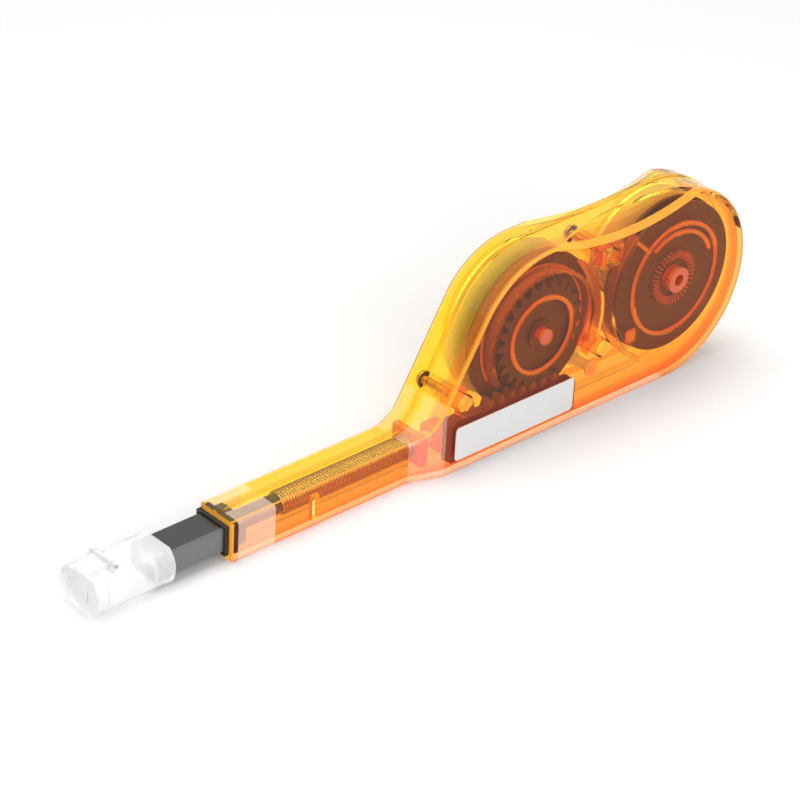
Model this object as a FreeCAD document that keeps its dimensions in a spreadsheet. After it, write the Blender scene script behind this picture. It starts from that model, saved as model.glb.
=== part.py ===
# Reel-type cleaning pen for multi-fibre connectors.
# Frame: +X runs from the nose to the reels, the labelled near face looks along -Y, +Z is up.
# The origin is at the middle of the bottom of the bounding box. All sizes are in millimetres.
import FreeCAD, Part
import Sketcher
import math
import os
import re
from FreeCAD import Placement, Rotation, Vector

doc = FreeCAD.newDocument("CleaningPen")

# ---------------------------------------------------------------- driving dimensions
SIZES = [
    # housing; places along X are measured from the front face of the nose
    ("nose_x", -67.6, "place of the nose's front face in the frame"),
    ("case_depth", 17.9, "thickness of the housing, near face to far face"),
    ("seam_depth", 11.2, "depth of the near shell"),
    ("wall", 1.5, "wall of both shells"),
    ("near_round", 0.9, "rounding of the near edges"),
    ("far_round", 3.2, "rounding of the far edges"),
    ("bead_height", 0.35, "height of the bead along the seam"),
    ("bead_width", 1.4, "width of the bead along the seam"),
    ("nose_height", 11.4, "height of the nose"),
    ("nose_width", 14.6, "width of the nose, flush with the far face"),
    ("flare_start", 1.1, "where the nose begins to widen, behind the front end of the hollow"),
    ("flare_end", 10.8, "where the nose has reached the housing's thickness, behind the same place"),
    ("front_x", 101.1, "axis of the take-up reel"),
    ("front_lobe_r", 25.3, "outer radius of the housing round the take-up reel"),
    ("rear_lobe_x", 148.4, "centre of the housing's rear end"),
    ("rear_lobe_r", 27.8, "outer radius of the housing's rear end"),
    ("reel_shift", 2.2, "supply reel's axis behind the centre of the rear end"),
    ("reel_rise", 1.3, "both reels' axes above the centre of the rear end"),
    ("slope_angle", 60.0, "slope of the housing up from the nose, degrees"),
    ("slope_fillet", 9.6, "hollow radius between nose and slope"),
    ("scoop_x", 129.0, "middle of the waist scoops"),
    ("scoop_depth", 5.9, "lowest edge of the waist scoops below the rear end's top"),
    ("scoop_radius", 110.0, "radius of the waist scoops"),
    ("scoop_tilt", 40.0, "slant of the waist scoops, degrees"),
    ("mould_gap", 0.05, "gap between pieces that are fitted into each other"),
    ("run_gap", 0.3, "gap between a moving piece and what it passes"),
    # label
    ("label_x", 70.5, "front end of the label"),
    ("label_z", 3.3, "lower edge of the label"),
    ("label_length", 42.4, "length of the label"),
    ("label_height", 9.7, "height of the label"),
    ("label_corner", 1.2, "corner radius of the label"),
    ("label_sink", 0.4, "depth of the label's recess"),
    ("label_thick", 0.35, "thickness of the label plate"),
    # window in the side of the nose
    ("slot_x", 25.2, "front edge of the window in the nose"),
    ("slot_width", 2.2, "width of the window in the nose"),
    ("slot_margin", 2.3, "window's distance from the nose's top and bottom"),
    # ribs of the shells
    ("rib", 1.1, "thickness of the guard and chamber ribs"),
    ("rib_top", 6.0, "depth to which the near shell's ribs reach"),
    ("ring_top", 2.4, "depth to which the near shell's rings reach"),
    ("hub_ring_r", 11.2, "outer radius of the ring round the take-up axle"),
    ("rear_ring_r", 16.5, "outer radius of the ring round the supply axle"),
    ("guard_gap", 1.7, "gap between the drive gear's tips and the guard rib"),
    ("chamber_gap", 1.5, "gap between the supply reel's flange and the chamber rib"),
    ("far_ring_lip", 0.8, "how far the far shell's ring ribs stand out past the flanges"),
    ("far_ring_height", 1.2, "height of the far shell's ring ribs"),
    ("tab_size", 3.6, "length of the guide tab beside the supply reel"),
    ("arm_length", 6.4, "length of the slanted arm beside the supply reel"),
    ("clip_length", 7.6, "length of the frame round the upper boss"),
    ("clip_height", 6.0, "height of that frame"),
    ("clip_wall", 0.9, "wall of that frame"),
    # screw bosses
    ("boss_r", 2.6, "radius of the screw bosses"),
    ("boss_low_x", 74.2, "front boss"),
    ("boss_low_rise", 4.0, "front boss above the rack's pitch line"),
    ("boss_mid_x", 124.4, "lower boss between the reels"),
    ("boss_mid_drop", 12.1, "lower boss between the reels, below the reel axes"),
    ("boss_top_x", 124.7, "upper boss between the reels"),
    ("boss_top_rise", 15.1, "upper boss between the reels, above the reel axes"),
    ("screw_r", 1.0, "radius of the screws"),
    ("screw_head_r", 2.0, "radius of the screw heads"),
    ("screw_head_height", 1.5, "height of the screw heads"),
    ("screw_length", 9.0, "length of the screws' shanks"),
    ("lug_length", 1.6, "length of the lugs beside the front boss"),
    ("lug_reach", 4.5, "depth to which those lugs reach"),
    # sleeve and its bush
    ("sleeve_width", 9.7, "outer width of the guide sleeve"),
    ("sleeve_height", 7.3, "outer height of the guide sleeve"),
    ("sleeve_wall", 0.9, "wall of the guide sleeve"),
    ("sleeve_reach", 22.0, "how far the sleeve stands out of the nose"),
    ("sleeve_back", 5.6, "rear end of the sleeve's square part"),
    ("sleeve_tail", 19.6, "rear end of the sleeve's round tail"),
    ("tail_r", 2.5, "radius of the sleeve's round tail"),
    ("sleeve_chamfer", 0.7, "bevel of the sleeve's long edges"),
    ("ear_length", 2.0, "length of the ears that stop the sleeve"),
    ("ear_height", 0.5, "height of those ears"),
    ("bush_stand", 1.2, "how far the bush stands out of the nose"),
    ("bush_ring", 3.0, "rear end of the bush's front ring"),
    # tape head and push rod
    ("head_width", 6.6, "width of the tape head"),
    ("head_thick", 2.4, "thickness of the tape head"),
    ("head_sink", 1.5, "tape head's tip behind the sleeve's mouth"),
    ("stem_thick", 4.4, "height of the head's stem at the rod"),
    ("rod_r", 1.6, "radius of the push rod"),
    # spring
    ("spring_r", 3.1, "outer radius of the return spring"),
    ("wire", 0.8, "wire of the return spring"),
    ("spring_turns", 18.0, "turns of the return spring"),
    ("seat_x", 63.7, "front face of the spring seat"),
    ("seat_thick", 2.0, "thickness of the spring seat"),
    # rack
    ("rack_x", 70.7, "front end of the rack bar"),
    ("rack_rear", 13.9, "rear end of the rack bar behind the take-up reel's axis"),
    ("rack_y", 1.9, "near side of the rack bar, from the near face"),
    ("rack_thick", 3.2, "thickness of the rack bar"),
    ("rack_base", 1.8, "underside of the rack bar"),
    ("rack_teeth", 7.0, "number of rack teeth"),
    ("yoke_length", 5.4, "length of the yoke that holds the push rod"),
    ("yoke_height", 5.4, "height of the yoke"),
    # drive gear
    ("tooth_module", 1.2, "module of gear and rack"),
    ("gear_teeth", 24.0, "teeth of the drive gear"),
    ("backlash", 0.3, "play between the teeth"),
    ("gear_y", 2.8, "near side of the drive gear, from the near face"),
    ("gear_thick", 2.6, "thickness of the drive gear"),
    ("clutch_height", 0.6, "height of the clutch teeth on the gear"),
    ("clutch_r", 6.5, "outer radius of the clutch teeth"),
    ("clutch_teeth", 12.0, "number of clutch teeth"),
    # reels
    ("take_up_margin", 3.5, "take-up flange's edge inside the front lobe's outline"),
    ("supply_margin", 6.0, "supply flange's edge inside the rear end's outline"),
    ("disc_y", 6.4, "near side of the flanges, from the near face"),
    ("disc_thick", 0.9, "thickness of the flanges"),
    ("hub_r", 8.0, "outer radius of the hubs that carry the tape"),
    ("hub_wall", 1.4, "wall of the hubs"),
    ("tape_y", 7.5, "near side of the tape rolls, from the near face"),
    ("reel_clear", 1.5, "gap between the far flanges and the far shell's wall"),
    ("tape_width", 6.3, "width of the tape, between the collars of its guides"),
    ("guide_r", 1.5, "radius of the tape guides"),
    ("collar_r", 2.3, "radius of the tape guides' collars"),
    ("collar_thick", 0.5, "thickness of those collars"),
    ("take_up_roll_r", 11.5, "radius of the tape on the take-up reel"),
    ("supply_roll_margin", 7.3, "tape's edge inside the supply reel's flange"),
    ("axle_r", 2.2, "radius of the take-up axle"),
    ("supply_axle_r", 3.6, "radius of the supply axle"),
    ("supply_axle_bore", 1.6, "bore of the supply axle"),
    ("spin_gap", 0.05, "gap between a reel and its axle"),
    ("cover_margin", 0.4, "near disc's edge inside the supply reel's flange"),
    ("cover_disc_y", 3.3, "near side of the supply reel's near disc"),
    ("drum_r", 9.0, "radius of the drum between the supply reel's discs"),
    ("crown_r", 7.6, "outer radius of the ring of radial teeth"),
    ("crown_inner_r", 5.7, "inner radius of the ring of radial teeth"),
    ("crown_teeth", 36.0, "number of radial teeth"),
    # cap
    ("cap_rim", -17.7, "rear rim of the cap"),
    ("cap_front", -37.5, "front of the cap's body"),
    ("cap_height", 10.2, "height of the cap"),
    ("cap_width", 14.4, "width of the cap"),
    ("cap_flat", 9.4, "width of the cap's flat top"),
    ("cap_wall", 0.9, "wall of the cap"),
    ("grip_length", 4.0, "length of the cap's ribs on the sleeve"),
    ("lid_gap", 0.1, "gap between the cap and its lid"),
    ("lid_thick", 3.8, "thickness of the lid"),
    ("lid_recess", 0.4, "depth of the recess in the lid's front"),
    ("hinge_x", -33.8, "axis of the lid's hinge"),
    ("hinge_rise", 1.2, "height of the hinge axis above the cap"),
    ("knuckle_r", 0.95, "radius of the hinge knuckle"),
    ("hinge_pin_r", 0.5, "radius of the hinge pin"),
    ("lug_width", 1.6, "width of the hinge lugs"),
    ("lug_spread", 4.0, "distance of the lugs' middles from the cap's middle"),
]

sheet = doc.addObject("Spreadsheet::Sheet", "Dims")
for row, (alias, number, note) in enumerate(SIZES, start=1):
    sheet.set("A%d" % row, alias)
    sheet.set("B%d" % row, str(number))
    sheet.setAlias("B%d" % row, alias)
    sheet.set("C%d" % row, note)
doc.recompute()

ALIASES = {alias for alias, number, note in SIZES}


def formula(text):
    """A formula of the sheet's sizes, as an expression that FreeCAD can bind."""
    return re.sub(r"[a-z_]+", lambda m: "Dims." + m.group(0) if m.group(0) in ALIASES else m.group(0), text)


def number(text):
    """The present value of such a formula."""
    return float(sheet.evalExpression(formula(text)))


def bind(thing, **sizes):
    """Bind properties to formulas; a double underscore stands for the dot of a path."""
    for path, text in sizes.items():
        thing.setExpression(path.replace("__", "."), formula(text))


# ---------------------------------------------------------------- common places
NEAR = "-case_depth / 2"                                     # near face
SEAM = "(-case_depth / 2 + seam_depth)"                      # parting plane
FAR = "case_depth / 2"                                       # far face
SETBACK = "(case_depth - nose_width)"                        # nose's near face behind the near face
NOSE_Y = "(%s / 2)" % SETBACK                                # middle of the nose
NOSE_Z = "(nose_height / 2)"
FRONT_X = "(nose_x + front_x)"
REAR_X = "(nose_x + rear_lobe_x + reel_shift)"
REEL_Z = "(rear_lobe_r + reel_rise)"
SCOOP_Z = "(2 * rear_lobe_r - scoop_depth)"
SLOPE = "(slope_angle * 1 deg)"
# where the hollow between nose and slope begins, from the nose's front face
HOLLOW_X = (
    "(front_x + (cos(%s) * (nose_height + slope_fillet - %s) - front_lobe_r - slope_fillet) / sin(%s))"
    % (SLOPE, REEL_Z, SLOPE)
)
FLARE_START = "(%s + flare_start)" % HOLLOW_X
FLARE_END = "(%s + flare_end)" % HOLLOW_X

# mechanism
PITCH_R = "(tooth_module * gear_teeth / 2)"
TOOTH_PITCH = "(pi * tooth_module)"
PITCH_LINE = "(%s - %s)" % (REEL_Z, PITCH_R)
GUARD_R = "(%s + tooth_module + guard_gap + rib)" % PITCH_R
TAKE_UP_R = "(front_lobe_r - take_up_margin)"
SUPPLY_R = "(rear_lobe_r - supply_margin)"

ALONG_Y = Rotation(Vector(1, 0, 0), -90)                     # turns +Z into +Y
ALONG_X = Rotation(Vector(0, 1, 0), 90)                      # turns +Z into +X


# ---------------------------------------------------------------- primitives and booleans
def place(thing, x, y, z, rotation=None):
    if rotation is not None:
        thing.Placement = Placement(Vector(0, 0, 0), rotation)
    bind(thing, Placement__Base__x=x, Placement__Base__y=y, Placement__Base__z=z)
    return thing


def box(name, x, y, z, length, width, height, rotation=None):
    solid = doc.addObject("Part::Box", name)
    bind(solid, Length=length, Width=width, Height=height)
    return place(solid, x, y, z, rotation)


def cylinder(name, x, y, z, radius, length, rotation=ALONG_Y):
    solid = doc.addObject("Part::Cylinder", name)
    bind(solid, Radius=radius, Height=length)
    return place(solid, x, y, z, rotation)


def cut(name, base, tool):
    solid = doc.addObject("Part::Cut", name)
    solid.Base = base
    solid.Tool = tool
    return solid


def fuse(name, shapes):
    solid = doc.addObject("Part::MultiFuse", name)
    solid.Shapes = shapes
    solid.Refine = True
    return solid


def common(name, shapes):
    solid = doc.addObject("Part::MultiCommon", name)
    solid.Shapes = shapes
    return solid


def tube(name, x, y, z, outer, inner, length, rotation=ALONG_Y):
    """A tube, or a hub with a bore."""
    shell = cylinder(name + "_outside", x, y, z, outer, length, rotation)
    bore = cylinder(name + "_bore", x, y, z, inner, length, rotation)
    return cut(name, shell, bore)


def arc_rib(name, x, y, z, outer, thick, height, start, sweep):
    """A rib along an arc; angles in degrees from +X towards +Z."""
    inner = "(%s) - (%s)" % (outer, thick)
    shell = cylinder(name + "_outside", x, y, z, outer, height)
    bore = cylinder(name + "_bore", x, y, z, inner, height)
    for solid in (shell, bore):
        # the cylinder's own angle runs from its local X; along +Y it turns towards -Z
        solid.Placement.Rotation = ALONG_Y.multiply(Rotation(Vector(0, 0, 1), -(start + sweep)))
        solid.Angle = sweep
    return cut(name, shell, bore)


# ---------------------------------------------------------------- sketches
PLANES = {
    "XZ": Rotation(Vector(1, 0, 0), 90),
    "XY": Rotation(),
    "YZ": Rotation(Vector(1, 1, 1), 120),
}


def free_sketch(name, plane, x="0", y="0", z="0"):
    sketch = doc.addObject("Sketcher::SketchObject", name)
    return place(sketch, x, y, z, PLANES[plane])


def body_sketch(body, name, plane, offset="0"):
    """A sketch on one of the body's own planes, moved along its normal."""
    sketch = body.newObject("Sketcher::SketchObject", name)
    role = plane + "_Plane"
    origin_plane = next(f for f in body.Origin.OriginFeatures if f.Role == role)
    sketch.AttachmentSupport = [(origin_plane, "")]
    sketch.MapMode = "FlatFace"
    bind(sketch, AttachmentOffset__Base__z=offset)
    return sketch


def pin_point(sketch, geometry, point, across, up):
    """Hold a point at two formulas of the sheet's sizes."""
    for kind, text in (("DistanceX", across), ("DistanceY", up)):
        value = number(text)
        index = sketch.addConstraint(Sketcher.Constraint(kind, -1, 1, geometry, point, value))
        sketch.setExpression("Constraints[%d]" % index, formula(text))


def add_polygon(sketch, corners):
    """A closed straight-sided outline; each corner is a pair of formulas."""
    points = [Vector(number(across), number(up), 0) for across, up in corners]
    first = sketch.GeometryCount
    count = len(points)
    for i in range(count):
        sketch.addGeometry(Part.LineSegment(points[i], points[(i + 1) % count]), False)
    for i in range(count):
        after = first + (i + 1) % count
        sketch.addConstraint(Sketcher.Constraint("Coincident", first + i, 2, after, 1))
    for i, (across, up) in enumerate(corners):
        pin_point(sketch, first + i, 1, across, up)
    return sketch


def add_rectangle(sketch, left, bottom, right, top):
    return add_polygon(sketch, [(left, bottom), (right, bottom), (right, top), (left, top)])


def add_circle(sketch, across, up, radius):
    centre = Vector(number(across), number(up), 0)
    circle = sketch.addGeometry(Part.Circle(centre, Vector(0, 0, 1), number(radius)), False)
    pin_point(sketch, circle, 3, across, up)
    index = sketch.addConstraint(Sketcher.Constraint("Radius", circle, number(radius)))
    sketch.setExpression("Constraints[%d]" % index, formula(radius))
    return sketch


# ---------------------------------------------------------------- PartDesign features
def new_body(name):
    body = doc.addObject("PartDesign::Body", name)
    body.Label = name
    return body


def pad(body, name, sketch, length, reverse=False):
    feature = body.newObject("PartDesign::Pad", name)
    feature.Profile = sketch
    feature.Reversed = reverse
    bind(feature, Length=length)
    return feature


def pocket(body, name, sketch, length, reverse=False):
    feature = body.newObject("PartDesign::Pocket", name)
    feature.Profile = sketch
    feature.Reversed = reverse
    bind(feature, Length=length)
    return feature


def revolve(body, name, sketch):
    """Turn a half section about the sketch's own vertical axis."""
    feature = body.newObject("PartDesign::Revolution", name)
    feature.Profile = sketch
    feature.ReferenceAxis = (sketch, ["V_Axis"])
    feature.Angle = 360
    return feature


def polar(body, name, features, axis_sketch, count):
    pattern = body.newObject("PartDesign::PolarPattern", name)
    pattern.Originals = features
    pattern.Axis = (axis_sketch, ["N_Axis"])
    pattern.Angle = 360
    bind(pattern, Occurrences=count)
    body.Tip = pattern
    return pattern


PIECES = []


def piece(solid, name):
    """Give a finished piece its own name and put it on the list that is written out."""
    solid.Label = name
    PIECES.append(solid)
    return solid


# ---------------------------------------------------------------- housing
def case_outline(sketch, inset="0"):
    """Side outline: nose, hollow, slope, front lobe, straight back and round rear end."""
    inset_value = number(inset)
    left = number("nose_x") + inset_value
    nose_top = number("nose_height") - inset_value
    slope = math.radians(number("slope_angle"))
    front = Vector(number(FRONT_X), number(REEL_Z), 0)
    front_r = number("front_lobe_r") - inset_value
    rear_r = number("rear_lobe_r") - inset_value
    rear = Vector(number("nose_x + rear_lobe_x"), number("rear_lobe_r"), 0)
    hollow_r = number("slope_fillet") + inset_value

    gap = rear - front
    lean = math.asin((front_r - rear_r) / gap.Length)
    back_angle = math.atan2(gap.y, gap.x) + math.pi / 2 - lean
    back = Vector(math.cos(back_angle), math.sin(back_angle), 0)
    side_angle = slope + math.pi / 2
    side = Vector(math.cos(side_angle), math.sin(side_angle), 0)
    hollow_z = nose_top + hollow_r
    reach = side.dot(front) + front_r + hollow_r
    hollow = Vector((reach - side.y * hollow_z) / side.x, hollow_z, 0)

    def arc(centre, radius, start, end):
        return Part.ArcOfCircle(Part.Circle(centre, Vector(0, 0, 1), radius), start, end)

    def line(start, end):
        return Part.LineSegment(start, end)

    sketch.addGeometry([
        line(Vector(left, inset_value, 0), Vector(rear.x, inset_value, 0)),
        arc(rear, rear_r, -math.pi / 2, back_angle),
        line(rear + back * rear_r, front + back * front_r),
        arc(front, front_r, back_angle, side_angle),
        line(front + side * front_r, hollow - side * hollow_r),
        arc(hollow, hollow_r, -math.pi / 2, side_angle - math.pi),
        line(Vector(hollow.x, nose_top, 0), Vector(left, nose_top, 0)),
        line(Vector(left, nose_top, 0), Vector(left, inset_value, 0)),
    ], False)
    bottom, rear_arc, back_line, front_arc, slope_line, hollow_arc, nose_line, mouth = range(8)
    sketch.addConstraint([
        Sketcher.Constraint("Horizontal", bottom),
        Sketcher.Constraint("Horizontal", nose_line),
        Sketcher.Constraint("Vertical", mouth),
        Sketcher.Constraint("Tangent", bottom, 2, rear_arc, 1),
        Sketcher.Constraint("Tangent", rear_arc, 2, back_line, 1),
        Sketcher.Constraint("Tangent", back_line, 2, front_arc, 1),
        Sketcher.Constraint("Tangent", front_arc, 2, slope_line, 1),
        Sketcher.Constraint("Tangent", slope_line, 2, hollow_arc, 2),
        Sketcher.Constraint("Tangent", hollow_arc, 1, nose_line, 1),
        Sketcher.Constraint("Coincident", nose_line, 2, mouth, 1),
        Sketcher.Constraint("Coincident", mouth, 2, bottom, 1),
    ])
    pin_point(sketch, front_arc, 3, FRONT_X, REEL_Z)
    for geometry, text in (
        (rear_arc, "rear_lobe_r - %s" % inset),
        (front_arc, "front_lobe_r - %s" % inset),
        (hollow_arc, "slope_fillet + %s" % inset),
    ):
        index = sketch.addConstraint(Sketcher.Constraint("Radius", geometry, number(text)))
        sketch.setExpression("Constraints[%d]" % index, formula(text))
    for kind, geometry, point, text in (
        ("DistanceX", bottom, 1, "nose_x + %s" % inset),
        ("DistanceX", rear_arc, 3, "nose_x + rear_lobe_x"),
        ("DistanceY", rear_arc, 3, "rear_lobe_r"),
        ("DistanceY", nose_line, 2, "nose_height - %s" % inset),
    ):
        index = sketch.addConstraint(Sketcher.Constraint(kind, -1, 1, geometry, point, number(text)))
        sketch.setExpression("Constraints[%d]" % index, formula(text))
    index = sketch.addConstraint(Sketcher.Constraint("Angle", slope_line, slope - math.pi))
    sketch.setExpression("Constraints[%d]" % index, formula("(slope_angle - 180) * 1 deg"))
    return sketch


def setback(sketch, depth):
    """Plan view of what is cut away beside the nose, down to a depth behind the near face."""
    run = "20 * (flare_end - flare_start) / %s" % SETBACK
    return add_polygon(sketch, [
        ("nose_x - 20", NEAR + " - 20"),
        ("nose_x + %s + %s" % (FLARE_END, run), NEAR + " - 20 + %s" % depth),
        ("nose_x + " + FLARE_END, NEAR + " + %s" % depth),
        ("nose_x + " + FLARE_START, NEAR + " + %s + %s" % (SETBACK, depth)),
        ("nose_x - 20", NEAR + " + %s + %s" % (SETBACK, depth)),
    ])


def scoop(name, side, depth):
    """Cylinder that hollows one side of the waist between the lobes; side is -1 near, 1 far."""
    solid = doc.addObject("Part::Cylinder", name)
    bind(solid, Radius="scoop_radius + %s" % depth, Height="4 * case_depth")
    rise = "scoop_radius + 0"
    tilt = "scoop_tilt * 1 deg"
    solid.Placement = Placement(Vector(0, 0, 0), Rotation(Vector(side, 0, 0), 50))
    bind(solid, Placement__Rotation__Angle="(90 - scoop_tilt) * 1 deg")
    # the axis runs through a point above the lowest line, moved back along its own slant
    along = "2 * case_depth"
    bind(
        solid,
        Placement__Base__x="nose_x + scoop_x",
        Placement__Base__y="%d * (case_depth / 2 + (%s) * sin(%s) + (%s) * cos(%s))" % (
            side, rise, tilt, along, tilt,
        ),
        Placement__Base__z=SCOOP_Z + " + (%s) * cos(%s) - (%s) * sin(%s)" % (rise, tilt, along, tilt),
    )
    return solid


case_body = new_body("case_block")
case_sketch = case_outline(body_sketch(case_body, "case_side_view", "XZ", "case_depth / 2"))
case_pad = pad(case_body, "case_pad", case_sketch, "case_depth", reverse=True)
setback_sketch = setback(body_sketch(case_body, "case_setback_view", "XY"), "0")
SETBACK_HEIGHT = "(front_lobe_r + 2 * rear_lobe_r)"
case_setback = pocket(case_body, "case_setback", setback_sketch, SETBACK_HEIGHT, reverse=True)
doc.recompute()


def rim_edges(shape, towards):
    """Edges between the faces that look towards one side (-1 near, 1 far) and the faces round them."""
    names = []
    for index, edge in enumerate(shape.Edges, start=1):
        middle = edge.valueAt((edge.FirstParameter + edge.LastParameter) / 2)
        looks = []
        for face in shape.Faces:
            if any(edge.isSame(other) for other in face.Edges):
                u, v = face.Surface.parameter(middle)
                looks.append(face.normalAt(u, v).y * towards)
        if len(looks) == 2 and max(looks) > 0.7 and min(looks) < 0.1:
            names.append("Edge%d" % index)
    return names


near_rounding = case_body.newObject("PartDesign::Fillet", "case_near_rounding")
near_rounding.Base = (case_setback, rim_edges(case_setback.Shape, -1))
bind(near_rounding, Radius="near_round")
doc.recompute()
far_rounding = case_body.newObject("PartDesign::Fillet", "case_far_rounding")
far_rounding.Base = (near_rounding, rim_edges(near_rounding.Shape, 1))
bind(far_rounding, Radius="far_round")
doc.recompute()


def extruded(name, sketch, length):
    """A sketch of the XZ plane carried along +Y."""
    solid = doc.addObject("Part::Extrusion", name)
    solid.Base = sketch
    solid.DirMode = "Custom"
    solid.Dir = Vector(0, 1, 0)
    solid.Solid = True
    bind(solid, LengthFwd=length)
    return solid


scoops = [scoop("near_scoop", -1, "0"), scoop("far_scoop", 1, "0")]
block = cut("case_outside", case_body, fuse("scoops", scoops))

hollow_sketch = case_outline(free_sketch("hollow_side_view", "XZ", y=NEAR + " + wall"), "wall")
hollow_pad = extruded("hollow_pad", hollow_sketch, "case_depth - 2 * wall")
hollow_setback_sketch = setback(free_sketch("hollow_setback_view", "XY", z="-1"), "wall")
hollow_setback = doc.addObject("Part::Extrusion", "hollow_setback")
hollow_setback.Base = hollow_setback_sketch
hollow_setback.DirMode = "Custom"
hollow_setback.Dir = Vector(0, 0, 1)
hollow_setback.Solid = True
bind(hollow_setback, LengthFwd=SETBACK_HEIGHT)
hollow_scoops = [scoop("near_hollow_scoop", -1, "wall"), scoop("far_hollow_scoop", 1, "wall")]
hollow = cut("hollow", hollow_pad, fuse("hollow_limits", [hollow_setback] + hollow_scoops))

skin = cut("case_skin", block, hollow)

# mouth of the nose, filled by the bush
BUSH_WIDTH = "(sleeve_width + 2 * mould_gap + 1.2)"
BUSH_HEIGHT = "(nose_height - 2 * wall - 2 * mould_gap)"
mouth = box(
    "nose_mouth",
    "nose_x - 1", NOSE_Y + " - %s / 2 - mould_gap" % BUSH_WIDTH, NOSE_Z + " - nose_height / 2 + wall",
    "wall + 2", BUSH_WIDTH + " + 2 * mould_gap", "nose_height - 2 * wall",
)

REACH = "(2 * front_lobe_r + 2 * rear_lobe_r + rear_lobe_x)"
near_half = box("near_half", "nose_x - 5", NEAR + " - 5", "-5", REACH, "seam_depth + 5", REACH)
far_half = box("far_half", "nose_x - 5", SEAM, "-5", REACH, "case_depth", REACH)

# bead along the near shell's side of the seam
bead_sketch = case_outline(free_sketch("bead_side_view", "XZ", y=SEAM + " - bead_width"), "-bead_height")
bead_bore_sketch = case_outline(free_sketch("bead_bore_view", "XZ", y=SEAM + " - bead_width"), "wall / 2")
bead_outside = extruded("bead_outside", bead_sketch, "bead_width")
bead_bore = extruded("bead_bore", bead_bore_sketch, "bead_width")
above_ground = box("above_ground", "nose_x", NEAR, "0", REACH, "case_depth", REACH)
bead_ring = cut("bead_ring", bead_outside, bead_bore)
bead = common("bead", [bead_ring, above_ground])

BOSSES = [
    ("low", "boss_low_x", PITCH_LINE + " + boss_low_rise"),
    ("mid", "boss_mid_x", REEL_Z + " - boss_mid_drop"),
    ("top", "boss_top_x", REEL_Z + " + boss_top_rise"),
]
INSIDE_NEAR = "(%s + wall / 2)" % NEAR

RING = "ring_top - wall / 2"
RIB = "rib_top - wall / 2"
near_ribs = [
    tube("hub_ring", FRONT_X, INSIDE_NEAR, REEL_Z, "hub_ring_r", "hub_ring_r - rib", RING),
    tube("rear_ring", REAR_X, INSIDE_NEAR, REEL_Z, "rear_ring_r", "rear_ring_r - rib", RING),
]
# ribs along arcs: name, axis, outer radius, height, start and sweep in degrees
for name, x, outer, height, start, sweep in (
    ("guard_rib", FRONT_X, GUARD_R, RIB, -30, 244),
    ("fence_rib", FRONT_X, TAKE_UP_R + " + mould_gap * 4", RIB, -35, 80),
    ("chamber_rib", REAR_X, SUPPLY_R + " + chamber_gap + rib", RIB, 132, 112),
    ("rear_inner_rib", REAR_X, "rear_ring_r - 2 * rib - mould_gap * 4", RING, 20, 110),
):
    near_ribs.append(arc_rib(name, x, INSIDE_NEAR, REEL_Z, outer, "rib", height, start, sweep))

# guide tabs over the edge of the supply reel: angle round the reel and slant, in degrees
for end, turn, lean, length, width in (
    ("upper", 135, 139, "arm_length", "rib"),
    ("lower", 220, 0, "tab_size", "tab_size"),
):
    angle = math.radians(turn)
    slant = math.radians(lean)
    reach = "(%s - 2 * rib)" % SUPPLY_R
    across, up = math.cos(slant), math.sin(slant)
    near_ribs.append(box(
        "guide_tab_" + end,
        REAR_X + " + %s * %.4f - (%s) / 2 * %.4f + (%s) / 2 * %.4f" % (
            reach, math.cos(angle), length, across, width, up,
        ),
        INSIDE_NEAR,
        REEL_Z + " + %s * %.4f - (%s) / 2 * %.4f - (%s) / 2 * %.4f" % (
            reach, math.sin(angle), length, up, width, across,
        ),
        length, RING + " + run_gap", width, Rotation(Vector(0, -1, 0), lean),
    ))

# frame of the snap beside the upper boss
CLIP_X = "(nose_x + boss_top_x)"
CLIP_Z = "(%s + boss_top_rise)" % REEL_Z
clip_outside = box(
    "clip_outside",
    CLIP_X + " - clip_length / 2", INSIDE_NEAR, CLIP_Z + " - clip_height / 2", "clip_length", RIB, "clip_height",
)
clip_inside = box(
    "clip_inside",
    CLIP_X + " - clip_length / 2 + clip_wall", INSIDE_NEAR, CLIP_Z + " - clip_height / 2 + clip_wall",
    "clip_length - 2 * clip_wall", "rib_top", "clip_height - 2 * clip_wall",
)
near_ribs.append(cut("clip_frame", clip_outside, clip_inside))

near_bosses = []
near_bores = []
far_bosses = []
far_bores = []
SCREW_SEAT = "(%s - screw_head_height)" % FAR
for name, x, z in BOSSES:
    x = "nose_x + " + x
    near_bosses.append(cylinder("near_boss_" + name, x, INSIDE_NEAR, z, "boss_r", "seam_depth - wall / 2"))
    near_bores.append(cylinder(
        "near_bore_" + name, x, SCREW_SEAT + " - screw_length - run_gap", z, "screw_r + mould_gap", "screw_length",
    ))
    far_bosses.append(cylinder("far_boss_" + name, x, SEAM, z, "boss_r", "case_depth - seam_depth - wall / 2"))
    far_bores.append(cylinder("far_bore_" + name, x, SEAM, z, "screw_r + mould_gap", "case_depth"))
    far_bores.append(cylinder("screw_pocket_" + name, x, SCREW_SEAT, z, "screw_head_r + mould_gap", "case_depth"))
for end, turn in (("upper", 1), ("lower", -1)):
    near_bosses.append(box(
        "boss_lug_" + end,
        "nose_x + boss_low_x - 0.6", INSIDE_NEAR,
        PITCH_LINE + " + boss_low_rise + %d * (boss_r + lug_length / 2 - 0.1) - lug_length / 2" % turn,
        "1.2", "lug_reach - wall / 2", "lug_length",
    ))


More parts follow.
